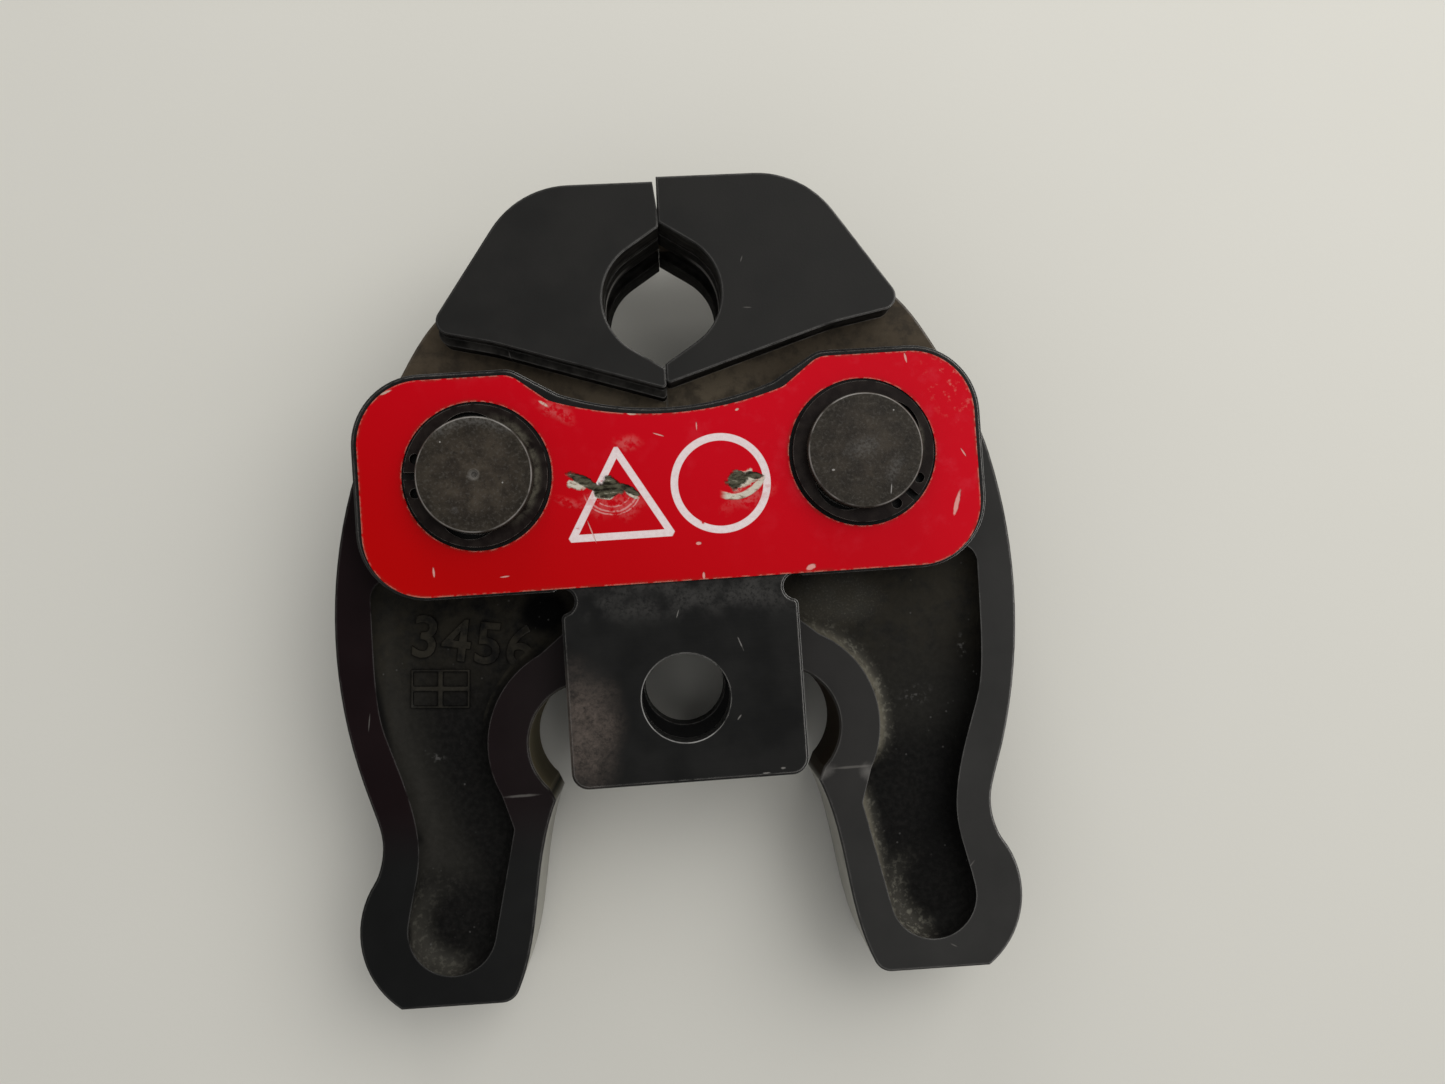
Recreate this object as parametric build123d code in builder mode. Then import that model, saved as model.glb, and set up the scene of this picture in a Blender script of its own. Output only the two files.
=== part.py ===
from build123d import *
from math import asin, cos, degrees, radians, sin
import os

# Press fitting tool jaw: two forged lever arms that turn on pivot pins between two T-shaped side plates.
# Millimetres. The origin is the centre of the tool pin bore at half thickness. The head points along +Y
# and the front, with its label, faces +Z. Each arm is drawn as the right one, and the left one is mirrored.

# Pivots and tool pin bore
pivot_offset = 30.25
pivot_height = 36.7
pivot_diameter = 18.0
tool_pin_diameter = 14.0

# Both arms lie turned a little clockwise about their pins, as far as the play in the closed jaw lets them
arm_skew_angle = 0.7

# Thicknesses, front to rear
arm_thickness = 17.0
head_thickness = 30.0
plate_thickness = 6.0
label_thickness = 0.3

# Clearances
side_clearance = 0.25
pivot_clearance = 0.05
plate_hole_clearance = 0.02
ring_clearance = 0.05
parting_gap = 0.05
spring_clearance = 0.2

# Side plate outline
plate_side_margin = 19.25
plate_top_rise = 16.5
plate_bottom_drop = 18.8
plate_top_radius = 11.0
plate_bottom_radius = 11.0
plate_shoulder_x = 24.2
scallop_half_width = 16.9
scallop_edge_drop = 4.4
scallop_depth = 7.5
plate_slope_radius = 4.0
plate_edge_break = 0.4
tail_half_width = 18.6
tail_end = -13.2
tail_radius = 2.7
notch_radius = 2.0
notch_overlap = 0.2
notch_drop = 1.6
notch_corner_radius = 0.9

# Press contour, split between the two heads; depths run from the front face
contour_rise = 26.6
contour_radius = 9.4
contour_half_angle = 57.0
contour_mouth_fillet = 0.3
bead_depth = 13.9
bead_width = 8.7
bead_relief = 2.3
bead_floor_radius = 1.6
vee_depth = 6.0
vee_width = 1.4
vee_relief = 0.9
vee_flat = 0.1

# Head of the arms
head_top_rise = 18.4
head_foot_drop = 14.4
head_shoulder_x = 21.7
head_shoulder_radius = 15.0
head_corner_x = 36.9
head_corner_drop = 3.55
head_corner_radius = 2.2
head_bend_x = 26.7
head_bend_drop = 5.9
head_bend_radius = 25.0
head_foot_radius = 0.6
head_edge_break = 0.2
head_stock = 1.6
ledge_width = 1.3
ledge_drop = 2.8
lead_in_depth = 4.8
lead_in_width = 0.55

# Outer side of the arm: flank, waist and round tail end
shoulder_join_x = 31.4
shoulder_join_rise = 30.5
shoulder_upper_x = 37.3
shoulder_upper_rise = 25.0
shoulder_lower_x = 43.0
shoulder_lower_rise = 16.4
shoulder_stock = 1.6
flank_top_x = 51.4
flank_top_drop = 0.5
flank_stock = 0.7
flank_middle = (55.0, 13.5)
flank_end = (52.4, -8.3)
waist_entry = (50.1, -16.0)
waist = (49.1, -20.6)
bulb_centre = (38.8, -35.3)
bulb_radius = 14.6
bulb_start_angle = 35.0
tail_foot = -47.1
arm_edge_break = 0.3

# Inner side of the arm: cam face, roller pocket and spring chamber
cam_foot_x = 29.6
cam_foot_radius = 3.0
cam_low = (26.1, -37.1)
cam_high = (24.7, -28.8)
cam_nose = (21.25, -15.5)
pocket_centre = (15.5, -6.5)
pocket_radius = 9.6
pocket_top_angle = 81.0
pocket_end_angle = -46.0

# Forged recess in both faces of each arm
recess_depth = 4.0
recess_floor_radius = 3.2
recess_bulb_radius = 7.0
recess_pocket_rim = 6.6
recess_nose = (28.1, -19.6)
recess_flank_low = (43.4, -22.0)
recess_flank_middle = (46.9, -6.4)
recess_flank_high_x = 49.1
recess_top_rise = 3.6
recess_inner_drop = 3.3
recess_flank_drop = 5.9
recess_inner_x = 14.6
recess_corner_radius = 3.2
recess_nose_radius = 1.5
recess_bulb_start = 10.0
recess_bulb_sweep = 175.6
recess_rim_start = -28.0
recess_rim_sweep = 92.0

# Pivot pins and retaining rings
pin_end_height = 3.8
pin_end_chamfer = 0.25
centre_drill_diameter = 1.6
centre_drill_pilot = 0.8
centre_drill_depth = 0.8
ring_thickness = 1.5
ring_outer_radius = 11.1
ring_seat_radius = 8.15
ring_gap = 1.1
ring_hole_diameter = 1.6
ring_hole_reach = 9.7
ring_hole_angle = 16.0
ring_relief_centre = 5.0
ring_relief_radius = 4.95
ring_relief_angle = 80.0
right_ring_turn_angle = -45.0
left_ring_turn_angle = 177.0

# Label on the front plate
label_inset = 1.0
label_foot_inset = 0.4
label_slope_shift = 1.6
label_hole_radius = 11.65

# Leg spring between the arms
spring_wire = 2.2
spring_coil_radius = 5.2
spring_pitch = 2.5
spring_turns = 3
spring_drop = 7.2
spring_splay_angle = 15.0
spring_leg = 17.0
chamber_radius = 8.6
chamber_rise = 1.0
leg_seat_length = 3.0

# Levels, places and radii that follow from the sizes above
plate_half_width = pivot_offset + plate_side_margin
plate_top = pivot_height + plate_top_rise
plate_bottom = pivot_height - plate_bottom_drop
scallop_edge = plate_top - scallop_edge_drop
scallop_floor = plate_top - scallop_depth
contour_height = pivot_height + contour_rise
head_top = contour_height + head_top_rise
head_foot = contour_height - head_foot_drop
head_corner = (head_corner_x, contour_height - head_corner_drop)
head_bend = (head_bend_x, contour_height - head_bend_drop)
shoulder_join = (shoulder_join_x, pivot_height + shoulder_join_rise)
shoulder_upper = (shoulder_upper_x, pivot_height + shoulder_upper_rise)
shoulder_lower = (shoulder_lower_x, pivot_height + shoulder_lower_rise)
flank_top = (flank_top_x, pivot_height - flank_top_drop)
recess_top = plate_bottom + recess_top_rise
recess_inner_low = plate_bottom - recess_inner_drop
recess_flank_high = (recess_flank_high_x, plate_bottom - recess_flank_drop)
spring_height = pivot_height - spring_drop
chamber_height = spring_height + chamber_rise
plate_inner = arm_thickness / 2 + side_clearance
plate_face = plate_inner + plate_thickness
pin_length = 2 * (plate_face + pin_end_height)
half_gap = parting_gap / 2
bulb_foot_angle = degrees(asin((bulb_centre[1] - tail_foot) / bulb_radius))

# Distance within which a vertex counts as being at a place
same_place = 0.01

os.makedirs("parts", exist_ok=True)


def polar(centre, radius, angle):
    """Point at a radius and angle about a centre."""
    return (centre[0] + radius * cos(radians(angle)), centre[1] + radius * sin(radians(angle)))


# Seat of the right spring leg on the arm: the leg's end, moved out by half the wire and the clearance
leg_root = polar((0, spring_height), spring_coil_radius, spring_splay_angle)
leg_end = polar(leg_root, spring_leg, spring_splay_angle - 90)
leg_seat = polar(leg_end, spring_wire / 2 + spring_clearance, spring_splay_angle)
leg_seat_foot = (leg_seat[0], leg_seat[1] - leg_seat_length)


def moved_out(point, stock):
    """Point of the outer side, further out by the stock that was left there."""
    return (point[0] + stock, point[1])


def arm_outline(join_stock, web_stock, side_stock):
    """Outline of the right arm at its web: flank, waist, tail end, cam face, roller pocket and chamber."""
    join = moved_out(shoulder_join, join_stock)
    upper = moved_out(shoulder_upper, web_stock)
    pocket_top = polar(pocket_centre, pocket_radius, pocket_top_angle)
    pocket_end = polar(pocket_centre, pocket_radius, pocket_end_angle)
    chamber_side = (chamber_radius, chamber_height)
    chamber_top = (half_gap, chamber_height + chamber_radius)
    chamber_corner = polar((0, chamber_height), chamber_radius, 45)
    with BuildSketch() as outline:
        with BuildLine():
            flank = ThreePointArc(moved_out(flank_top, side_stock), flank_middle, flank_end)
            bulb_sweep = -bulb_start_angle - bulb_foot_angle
            bulb = CenterArc(bulb_centre, bulb_radius, bulb_start_angle, bulb_sweep)
            Spline(
                join,
                upper,
                moved_out(shoulder_lower, web_stock),
                flank @ 0,
                tangents=(Vector(*upper) - Vector(*join), flank % 0),
            )
            Spline(flank @ 1, waist_entry, waist, bulb @ 0, tangents=(flank % 1, bulb % 0))
            foot = Line(bulb @ 1, (cam_foot_x, tail_foot))
            cam = Spline(foot @ 1, cam_low, cam_high, cam_nose)
            Line(cam @ 1, pocket_end)
            CenterArc(pocket_centre, pocket_radius, pocket_end_angle, pocket_top_angle - pocket_end_angle)
            Polyline(pocket_top, leg_seat_foot, leg_seat, chamber_side)
            ThreePointArc(chamber_side, chamber_corner, chamber_top)
            Polyline(chamber_top, (half_gap, join[1]), join)
        make_face()
        foot_corner = outline.vertices().sort_by_distance((cam_foot_x, tail_foot))[0]
        fillet(foot_corner, cam_foot_radius)
    return outline.sketch


def head_outline(stock):
    """Outline of the right half of the head, as seen from the front, with stock left on its outer side."""
    with BuildSketch() as outline:
        with BuildLine():
            FilletPolyline(
                (half_gap, head_foot),
                (half_gap, head_top),
                (head_shoulder_x + stock, head_top),
                moved_out(head_corner, stock),
                head_bend,
                radius=(head_foot_radius, 0, head_shoulder_radius, head_corner_radius, head_bend_radius),
                close=True,
            )
        make_face()
    return outline.sketch


def recess_outline():
    """Outline of the forged recess, which keeps an even rim round the roller pocket and the tail end."""
    rim_radius = pocket_radius + recess_pocket_rim
    with BuildSketch() as outline:
        with BuildLine():
            bulb = CenterArc(bulb_centre, recess_bulb_radius, recess_bulb_start, -recess_bulb_sweep)
            outer = Spline(
                bulb @ 0,
                recess_flank_low,
                recess_flank_middle,
                recess_flank_high,
                tangents=(-(bulb % 0), Vector(0, 1)),
            )
            rim = CenterArc(pocket_centre, rim_radius, recess_rim_start, recess_rim_sweep)
            Polyline(
                outer @ 1,
                (recess_flank_high[0], recess_top),
                (recess_inner_x, recess_top),
                (recess_inner_x, recess_inner_low),
                rim @ 1,
            )
            Polyline(rim @ 0, recess_nose, bulb @ 1)
        make_face()
        top_corners = outline.vertices().filter_by_position(Axis.Y, recess_inner_low, recess_top)
        fillet(top_corners, recess_corner_radius)
        nose = outline.vertices().sort_by_distance(recess_nose)[0]
        fillet(nose, recess_nose_radius)
    return outline.sketch


def contour_arc():
    """Round stretch of the press contour in the right half of the head."""
    return CenterArc((0, contour_height), contour_radius, -contour_half_angle, 2 * contour_half_angle)


def press_contour():
    """Section of the press contour: an arc with straight run-outs that cross the parting face."""
    with BuildSketch() as section:
        with BuildLine():
            arc = contour_arc()
            lower = Line(arc @ 0 - (arc % 0) * contour_radius, arc @ 0)
            upper = Line(arc @ 1, arc @ 1 + (arc % 1) * contour_radius)
            Line(upper @ 1, lower @ 0)
        make_face()
    return section.sketch


def contour_groove(depth, width, relief, floor_radius):
    """Ring groove that follows the press contour, at a depth below the front face of the head."""
    with BuildPart() as groove:
        with BuildLine(Plane.XY.offset(head_thickness / 2 - depth - width / 2)) as path:
            arc = contour_arc()
            lower = Line(arc @ 0 - (arc % 0) * contour_radius, arc @ 0)
            Line(arc @ 1, arc @ 1 + (arc % 1) * contour_radius)
        outward = Vector(*polar((0, 0), 1, -contour_half_angle))
        with BuildSketch(Plane(origin=lower @ 0, x_dir=outward, z_dir=lower % 0)) as profile:
            Rectangle(2 * relief, width)
            fillet(profile.vertices().group_by(Axis.X)[-1], floor_radius)
        sweep(profile.sketch, path=path.wire())
    return groove.part


def jaw_arm(step_ledge, lead_in, outer_stock, web_stock, side_stock):
    """Right-hand arm: forged lever with recesses, thicker head, press contour and pivot bore."""
    with BuildPart() as arm:
        # Web of the lever
        add(arm_outline(outer_stock, web_stock, side_stock))
        extrude(amount=arm_thickness / 2, both=True)
        rims = arm.faces().filter_by(Axis.Z).edges()
        chamfer(rims.filter_by(lambda edge: edge.center().X > 2 * half_gap), arm_edge_break)

        # Forged recess in either face, with a round fillet along its floor
        for side in (1, -1):
            level = side * (arm_thickness / 2 - recess_depth)
            with BuildSketch(Plane.XY.offset(side * arm_thickness / 2)):
                add(recess_outline())
            extrude(amount=-side * recess_depth, mode=Mode.SUBTRACT)
            floor = arm.faces().filter_by(Axis.Z).sort_by(lambda face: abs(face.center().Z - level))[0]
            fillet(floor.edges(), recess_floor_radius)

        # Head, thicker than the web, with a low ledge along its foot where the arm has one
        add(head_outline(outer_stock))
        extrude(amount=head_thickness / 2, both=True)
        if step_ledge:
            with BuildSketch():
                with Locations((0, -step_ledge)):
                    add(head_outline(outer_stock))
            extrude(amount=head_thickness / 2 - ledge_drop, both=True)

        # Press contour through the head, with eased corners at the parting face
        add(press_contour())
        extrude(amount=head_thickness, both=True, mode=Mode.SUBTRACT)
        parting = arm.edges().filter_by(Axis.Z).filter_by_position(Axis.X, 0, 2 * half_gap)
        fillet(parting.sort_by_distance((half_gap, contour_height))[:2], contour_mouth_fillet)
        face_edges = arm.faces().sort_by(Axis.Z)[-1].edges() + arm.faces().sort_by(Axis.Z)[0].edges()
        chamfer(face_edges.filter_by(lambda edge: edge.center().X > contour_mouth_fillet), head_edge_break)
        add(contour_groove(bead_depth, bead_width, bead_relief, bead_floor_radius), mode=Mode.SUBTRACT)
        add(contour_groove(vee_depth, vee_width, vee_relief, vee_width / 2 - vee_flat), mode=Mode.SUBTRACT)

        # Slack between the two closing faces at the tip of the head
        if lead_in:
            with BuildSketch():
                with BuildLine():
                    Polyline(
                        (-lead_in, head_top + lead_in),
                        (half_gap + lead_in, head_top + lead_in),
                        (half_gap + lead_in, head_top),
                        (half_gap, head_top - lead_in_depth),
                        (-lead_in, head_top - lead_in_depth),
                        close=True,
                    )
                make_face()
            extrude(amount=head_thickness, both=True, mode=Mode.SUBTRACT)

        # Pivot bore
        with Locations((pivot_offset, pivot_height)):
            Hole(pivot_diameter / 2 + pivot_clearance)
    return arm.part


def vertices_at(outline, x, y):
    """Pair of mirrored vertices of an outline, at x and -x."""
    return outline.vertices().filter_by(lambda v: abs(abs(v.X) - x) < same_place and abs(v.Y - y) < same_place)


def bar_outline(inset, foot_inset, slope_shift):
    """Outline of the wide bar of the side plate, or of the label a little inside it."""
    scallop_end = (scallop_half_width + slope_shift, scallop_edge - inset)
    with BuildSketch() as outline:
        with BuildLine():
            ThreePointArc(
                (-scallop_end[0], scallop_end[1]),
                (0, scallop_floor - inset),
                scallop_end,
            )
            Polyline(
                scallop_end,
                (plate_shoulder_x, plate_top - inset),
                (plate_half_width - inset, plate_top - inset),
                (plate_half_width - inset, plate_bottom + foot_inset),
                (inset - plate_half_width, plate_bottom + foot_inset),
                (inset - plate_half_width, plate_top - inset),
                (-plate_shoulder_x, plate_top - inset),
                (-scallop_end[0], scallop_end[1]),
            )
        make_face()
        side_x = plate_half_width - inset
        fillet(vertices_at(outline, side_x, plate_top - inset), plate_top_radius - inset)
        fillet(vertices_at(outline, side_x, plate_bottom + foot_inset), plate_bottom_radius - inset)
        fillet(vertices_at(outline, plate_shoulder_x, plate_top - inset), plate_slope_radius)
        fillet(vertices_at(outline, *scallop_end), plate_slope_radius)
    return outline.sketch


def plate_outline():
    """Outline of the T-shaped side plate with its pin holes and the tool pin bore."""
    with BuildSketch() as outline:
        add(bar_outline(0, 0, 0))
        with Locations((0, (plate_bottom + tail_end) / 2)):
            Rectangle(2 * tail_half_width, plate_bottom - tail_end)
        fillet(outline.vertices().group_by(Axis.Y)[0], tail_radius)
        notch_x = tail_half_width - notch_overlap
        with Locations((-notch_x, plate_bottom - notch_drop), (notch_x, plate_bottom - notch_drop)):
            Circle(notch_radius, mode=Mode.SUBTRACT)
        low_corners = outline.vertices().filter_by(
            lambda v: abs(abs(v.X) - tail_half_width) < same_place and tail_end + 2 * tail_radius < v.Y
        )
        fillet(low_corners.group_by(Axis.Y)[0], notch_corner_radius)
        with Locations((-pivot_offset, pivot_height), (pivot_offset, pivot_height)):
            Circle(pivot_diameter / 2 + plate_hole_clearance, mode=Mode.SUBTRACT)
        Circle(tool_pin_diameter / 2, mode=Mode.SUBTRACT)
    return outline.sketch


def retaining_ring(turn):
    """Outline of a retaining ring with lugs that point inward, its gap turned to an angle."""
    with BuildSketch() as outline:
        Circle(ring_outer_radius)
        Circle(ring_seat_radius, mode=Mode.SUBTRACT)
        with PolarLocations(ring_outer_radius, 1, turn):
            Rectangle(ring_outer_radius, ring_gap, mode=Mode.SUBTRACT)
        with Locations(
            polar((0, 0), ring_hole_reach, turn + ring_hole_angle),
            polar((0, 0), ring_hole_reach, turn - ring_hole_angle),
        ):
            Circle(ring_hole_diameter / 2, mode=Mode.SUBTRACT)
        with Locations(
            polar((0, 0), ring_relief_centre, turn + ring_relief_angle),
            polar((0, 0), ring_relief_centre, turn - ring_relief_angle),
        ):
            Circle(ring_relief_radius, mode=Mode.SUBTRACT)
    return outline.sketch


with BuildPart() as jaw_arm_right:
    right_arm = jaw_arm(0, 0, head_stock, shoulder_stock, flank_stock)
    add(right_arm.rotate(Axis((pivot_offset, pivot_height, 0), (0, 0, 1)), -arm_skew_angle))

with BuildPart() as jaw_arm_left:
    left_arm = jaw_arm(ledge_width, lead_in_width, 0, 0, 0).mirror(Plane.YZ)
    add(left_arm.rotate(Axis((-pivot_offset, pivot_height, 0), (0, 0, 1)), -arm_skew_angle))

with BuildPart() as side_plate_front:
    with BuildSketch(Plane.XY.offset(plate_inner)):
        add(plate_outline())
    extrude(amount=plate_thickness)
    outer_face = side_plate_front.faces().sort_by(Axis.Z)[-1]
    chamfer(outer_face.outer_wire().edges(), plate_edge_break)

with BuildPart() as side_plate_rear:
    add(side_plate_front.part)
    mirror(about=Plane.XY, mode=Mode.REPLACE)

with BuildPart() as front_label:
    with BuildSketch(Plane.XY.offset(plate_face)):
        add(bar_outline(label_inset, label_foot_inset, label_slope_shift))
        with Locations((-pivot_offset, pivot_height), (pivot_offset, pivot_height)):
            Circle(label_hole_radius, mode=Mode.SUBTRACT)
    extrude(amount=label_thickness)

with BuildPart() as leg_spring:
    sweep_angle = 360 * spring_turns + 180 - 2 * spring_splay_angle
    coil_height = spring_pitch * sweep_angle / 360
    with BuildLine() as coil:
        Helix(spring_pitch, coil_height, spring_coil_radius, center=(0, 0, -coil_height / 2))
    path = coil.line.rotate(Axis.Z, spring_splay_angle).moved(Location((0, spring_height, 0)))
    path = path.rotate(Axis((0, pivot_height, 0), (0, 0, 1)), -arm_skew_angle)
    with BuildSketch(Plane(origin=path @ 0, z_dir=path % 0)):
        Circle(spring_wire / 2)
    sweep(path=path, is_frenet=True)
    extrude(leg_spring.faces().filter_by(GeomType.PLANE), amount=spring_leg)

pieces = {
    "jaw_arm_right": jaw_arm_right,
    "jaw_arm_left": jaw_arm_left,
    "side_plate_front": side_plate_front,
    "side_plate_rear": side_plate_rear,
    "front_label": front_label,
    "leg_spring": leg_spring,
}

for side, x, turn in (
    ("left", -pivot_offset, left_ring_turn_angle),
    ("right", pivot_offset, right_ring_turn_angle),
):
    with BuildPart() as pivot_pin:
        with BuildSketch(Plane.XY.offset(-pin_length / 2)):
            with Locations((x, pivot_height)):
                Circle(pivot_diameter / 2)
        extrude(amount=pin_length)
        chamfer(pivot_pin.edges().filter_by(GeomType.CIRCLE), pin_end_chamfer)
        for facing in (1, -1):
            with BuildSketch(Plane.XY.offset(facing * plate_face)):
                with Locations((x, pivot_height)):
                    Circle(pivot_diameter)
                    Circle(ring_seat_radius - ring_clearance, mode=Mode.SUBTRACT)
            extrude(amount=facing * (ring_thickness + ring_clearance), mode=Mode.SUBTRACT)
        if side == "left":
            with Locations(Plane.XY.offset(pin_length / 2)):
                with Locations((x, pivot_height)):
                    CounterSinkHole(centre_drill_pilot / 2, centre_drill_diameter / 2, centre_drill_depth)
    pieces[f"pivot_pin_{side}"] = pivot_pin
    for face_name, facing in (("front", 1), ("rear", -1)):
        with BuildPart() as ring:
            with BuildSketch(Plane.XY.offset(facing * plate_face)):
                with Locations((x, pivot_height)):
                    add(retaining_ring(turn))
            extrude(amount=facing * ring_thickness)
        pieces[f"retaining_ring_{side}_{face_name}"] = ring

for name, piece in pieces.items():
    piece.part.label = name
    export_step(piece.part, f"parts/{name}.step")
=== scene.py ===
"""Press fitting tool jaw, lying face up on a pale table top under soft window light from the right."""

import math

import bpy
from mathutils import Matrix, Vector


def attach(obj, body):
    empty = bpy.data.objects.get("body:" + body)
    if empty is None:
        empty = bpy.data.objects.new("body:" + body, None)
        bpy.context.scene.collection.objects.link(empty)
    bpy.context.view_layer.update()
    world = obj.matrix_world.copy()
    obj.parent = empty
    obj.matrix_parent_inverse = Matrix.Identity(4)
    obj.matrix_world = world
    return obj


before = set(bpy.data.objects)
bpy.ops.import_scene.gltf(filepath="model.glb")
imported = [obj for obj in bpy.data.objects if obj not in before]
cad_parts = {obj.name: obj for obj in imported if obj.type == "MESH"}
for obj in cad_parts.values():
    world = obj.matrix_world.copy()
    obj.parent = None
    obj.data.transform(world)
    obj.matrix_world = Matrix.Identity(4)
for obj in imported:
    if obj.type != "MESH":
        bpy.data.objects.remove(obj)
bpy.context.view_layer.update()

MM = 0.001
MM_IN_METRE = 1000.0

# Lengths below are in millimetres, and angles in degrees

# Heights of the table top at some places along Y. The jaw rests on its rear pin ends and on the tail's rear
# edge, so the table meets it at a slant, and runs level further out
TABLE_ROWS = (
    (-2500.0, -9.0),
    (-110.0, -9.0),
    (-75.0, -9.02),
    (130.0, -28.06),
    (165.0, -28.1),
    (2500.0, -28.1),
)
TABLE_HALF_WIDTH = 2500.0

# Camera, found by fitting a pinhole to the photograph: its place, the way it looks and its turn
CAMERA_PLACE = (-1.215, 20.44, 211.87)
CAMERA_AIM = (-52.5, -26.0, -1257.0)
CAMERA_TURN = 3.83
CAMERA_NEAR = 10.0
SENSOR_WIDTH = 36.0
LENS = 31.32

# Middle of the jaw, which the lights face
LIGHT_TARGET = (0.0, 18.0, 0.0)

# Places and outlines on the jaw that the looks refer to: pins, press contour, roller pocket, the rim round it
# where the recess begins, the slanted cam and leg outlines, and the curved outer flank
PIN_LEFT = (-30.25, 36.7)
PIN_RIGHT = (30.25, 36.7)
PIN_RADIUS = 8.8
CONTOUR = (0.3, 63.3)
POCKET = (15.2, -6.4)
RIM = (15.3, -6.6)
RIM_RADIUS = 16.2
CAM_SLOPE = 0.26
CAM_START = 17.2
LEG_SLOPE = 0.152
LEG_START = 24.6
FLANK_TOP = 12.0
FLANK_SIDE = 49.2
FLANK_CURVE = 0.0042
FLANK_SLOPE = 0.05

# Section of the raised figures and of the raised frame's bars
FIGURE_HALF_HEIGHT = 0.3
FIGURE_ROUNDING = 0.2
BAR_WIDTH = 0.45
BAR_HEIGHT = 0.55
BAR_ROUNDING = 0.22


# Camera, table and light


def add_camera():
    """Camera a hand's length above the jaw, where the photograph was taken from."""
    bpy.ops.object.camera_add()
    camera = bpy.context.object
    camera.data.sensor_width = SENSOR_WIDTH
    camera.data.lens = LENS
    camera.data.clip_start = CAMERA_NEAR * MM
    down = Vector(CAMERA_AIM).normalized()
    turn = math.radians(CAMERA_TURN)
    side = Vector((math.cos(turn), math.sin(turn), 0.0))
    side = (side - down * side.dot(down)).normalized()
    rows = Matrix((side, (-down).cross(side), -down))
    camera.matrix_world = Matrix.Translation(Vector(CAMERA_PLACE) * MM) @ rows.to_4x4()
    bpy.context.scene.camera = camera


def add_light(name, place, size, power, colour):
    """Square soft light at a place, turned towards the jaw."""
    spot = Vector(place) * MM
    bpy.ops.object.light_add(type="AREA", location=spot)
    light = bpy.context.object
    light.name = name
    light.rotation_euler = (Vector(LIGHT_TARGET) * MM - spot).to_track_quat("-Z", "Y").to_euler()
    light.data.size = size * MM
    light.data.energy = power
    light.data.color = colour


def add_world(strength, colour):
    """Even light of the room."""
    world = bpy.data.worlds.new("room_light")
    bpy.context.scene.world = world
    world.use_nodes = True
    background = world.node_tree.nodes["Background"]
    background.inputs["Color"].default_value = colour
    background.inputs["Strength"].default_value = strength


def add_table():
    """Table top, in strips that follow its heights."""
    bpy.ops.mesh.primitive_grid_add(x_subdivisions=1, y_subdivisions=len(TABLE_ROWS) - 1, size=2.0)
    table = bpy.context.object
    table.name = "table"
    table.data.materials.append(table_top())
    corners = sorted(table.data.vertices, key=lambda corner: corner.co.y)
    for index, corner in enumerate(corners):
        y, level = TABLE_ROWS[index // 2]
        corner.co = Vector((corner.co.x * TABLE_HALF_WIDTH, y, level)) * MM
    bpy.ops.object.shade_smooth()


# Materials


class Value:
    """A number or vector that varies over a surface, which Python expressions can reckon with."""

    def __init__(self, look, socket):
        self.look = look
        self.socket = socket

    def reckon(self, operation, *values):
        """Result of one Math node."""
        return self.look.node("Math", {"operation": operation}, dict(enumerate(values)))

    def __add__(self, other):
        return self.reckon("ADD", self, other)

    def __sub__(self, other):
        return self.reckon("SUBTRACT", self, other)

    def __rsub__(self, other):
        return self.reckon("SUBTRACT", other, self)

    def __mul__(self, other):
        return self.reckon("MULTIPLY", self, other)

    def __truediv__(self, other):
        return self.reckon("DIVIDE", self, other)

    def __abs__(self):
        return self.reckon("ABSOLUTE", self)

    __radd__ = __add__

    def most(self, other):
        """The larger of two values."""
        return self.reckon("MAXIMUM", self, other)

    def least(self, other):
        """The smaller of two values."""
        return self.reckon("MINIMUM", self, other)

    def root(self):
        """The square root."""
        return self.reckon("SQRT", self)

    def rise(self, low, high):
        """0 below low and 1 above high, with a soft step between them."""
        inputs = {"Value": self, "From Min": low, "From Max": high}
        return self.look.node("MapRange", {"interpolation_type": "SMOOTHSTEP"}, inputs)

    def fall(self, low, high):
        """1 below low and 0 above high, with a soft step between them."""
        return 1.0 - self.rise(low, high)


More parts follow.
